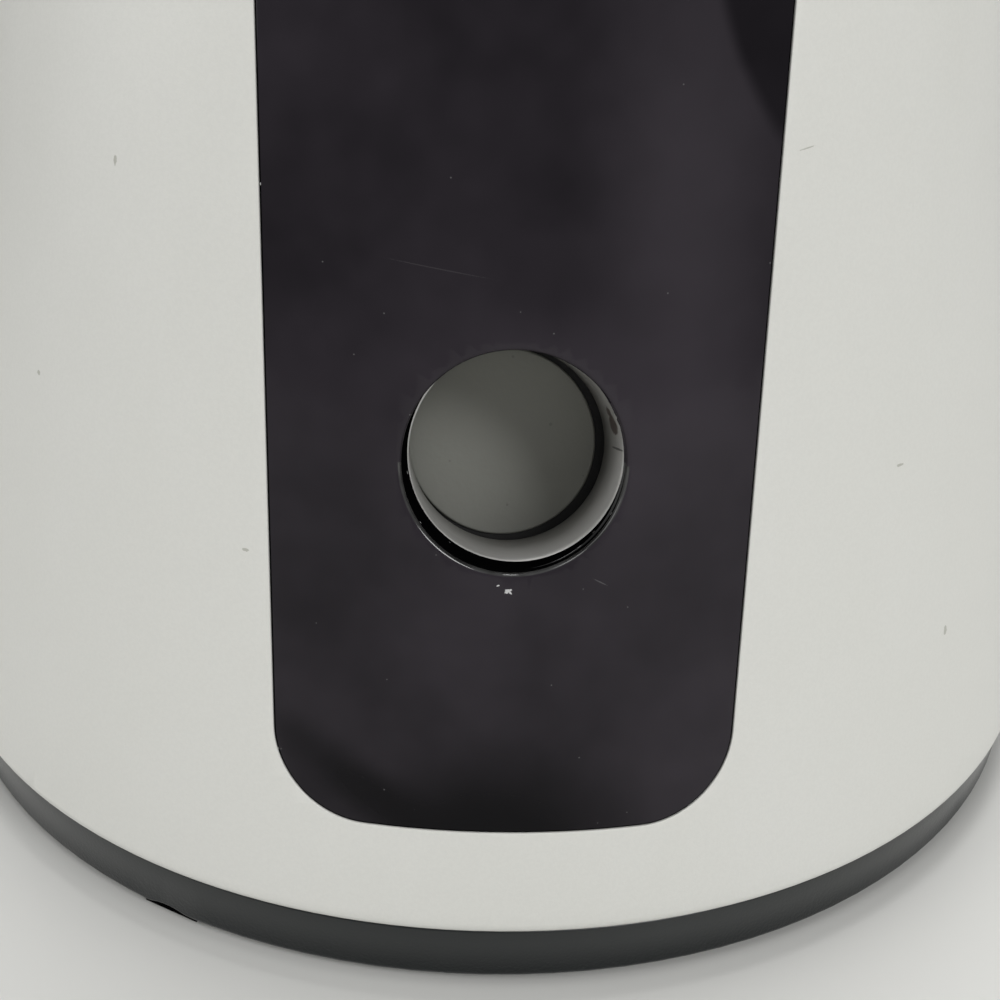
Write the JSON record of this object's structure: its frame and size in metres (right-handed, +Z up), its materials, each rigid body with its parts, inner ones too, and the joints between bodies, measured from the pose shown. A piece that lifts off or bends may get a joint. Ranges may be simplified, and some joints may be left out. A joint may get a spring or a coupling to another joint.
{
  "type": "pet feeder with camera",
  "caption": "Tapered treat-throwing pet feeder with a camera behind a glossy front strip, a lift-off lid, a metering wheel, a paddle launcher and a shuttered outlet.",
  "frame": {"origin": "on the floor under the middle of the base", "axes": "+Z up, -Y towards the front panel, +X to the right seen from the front"},
  "size_m": [0.1658, 0.1658, 0.2203],
  "materials": {
    "shell_white": "fine satin moulding",
    "panel_black": "high gloss",
    "base_grey": "fine matte texture",
    "rubber": "matte",
    "steel": "plated",
    "seal_silicone": "matte",
    "hopper_cream": "satin",
    "mover_amber": "satin",
    "gear_ivory": "satin",
    "bush_bronze": "machined",
    "motor_can": "drawn can",
    "chassis_grey": "satin",
    "tube_white": "smooth",
    "shutter_grey": "smooth matte",
    "servo_blue": "satin",
    "window_glass": "polished",
    "lens_glass": "coated",
    "part_black": "matte",
    "board_green": "solder mask",
    "shield_tin": "tinned",
    "plug_cream": "satin",
    "light_clear": "frosted",
    "button_grey": "satin",
    "cone_paper": "pressed paper"
  },
  "bodies": {
    "casing": {"outer_shell": "shell_white", "front_panel": "panel_black", "base_tray": "base_grey", "rubber_feet": "rubber", "base_screws": "steel", "hopper": "hopper_cream", "hopper_screws": "steel", "deflector": "hopper_cream", "shaft_bush": "bush_bronze", "gear_motor": "motor_can", "gear_motor_screws": "steel", "chassis_deck": "chassis_grey", "deck_screws": "steel", "drop_chute": "hopper_cream", "launcher_housing": "chassis_grey", "launcher_cover": "chassis_grey", "cover_screws": "steel", "hanger_screws": "steel", "launcher_bush": "bush_bronze", "launcher_motor": "motor_can", "launcher_motor_screws": "steel", "outlet_tube": "tube_white", "tube_screws": "steel", "shutter_servo": "servo_blue", "servo_screws": "steel", "camera_window": "window_glass", "camera_bezel": "part_black", "camera_lens": "lens_glass", "camera_barrel": "part_black", "camera_board": "board_green", "camera_screws": "steel", "infrared_lamps": "part_black", "status_light": "light_clear", "ribbon_cable": "plug_cream", "main_board": "board_green", "board_screws": "steel", "board_shield": "shield_tin", "board_chips": "part_black", "capacitors": "part_black", "connectors": "plug_cream", "reset_switch": "part_black", "power_inlet": "part_black", "inlet_nut": "steel", "speaker_frame": "part_black", "speaker_cone": "cone_paper", "speaker_screws": "steel"},
    "lid": {"lid": "shell_white", "lid_seal": "seal_silicone"},
    "metering_wheel": {"metering_wheel": "mover_amber", "metering_shaft": "steel", "wheel_nut": "steel", "metering_gear": "gear_ivory"},
    "drive_pinion": {"drive_pinion": "gear_ivory", "gear_motor_shaft": "steel"},
    "paddle_wheel": {"paddle_wheel": "mover_amber", "launcher_shaft": "steel"},
    "shutter": {"shutter": "shutter_grey", "shutter_shaft": "steel"},
    "reset_button": {"reset_button": "button_grey"}
  },
  "joints": [
    {"name": "lid_lift", "type": "slide", "parent": "casing", "child": "lid", "axis": [0, 0, 1], "range_m": [0, 0.05]},
    {"name": "metering_turn", "type": "hinge", "parent": "casing", "child": "metering_wheel", "pos_m": [0, 0.006, 0.101], "axis": [0, 0, 1], "continuous": true},
    {"name": "pinion_turn", "type": "hinge", "parent": "casing", "child": "drive_pinion", "pos_m": [0, 0.025, 0.09], "axis": [0, 0, 1], "continuous": true},
    {"name": "paddle_turn", "type": "hinge", "parent": "casing", "child": "paddle_wheel", "pos_m": [0, -0.0246, 0.05509], "axis": [1, 0, 0], "continuous": true},
    {"name": "shutter_swing", "type": "hinge", "parent": "casing", "child": "shutter", "pos_m": [-0.026, -0.05453, 0.05293], "axis": [0, 0.9511, -0.309], "range_deg": [0, 60]},
    {"name": "reset_press", "type": "slide", "parent": "casing", "child": "reset_button", "axis": [0, -1, 0], "range_m": [0, 0.001], "stiffness_N_per_m": 300}
  ],
  "couplings": [
    {"joint": "pinion_turn", "follows": "metering_turn", "ratio": -1.7143}
  ]
}
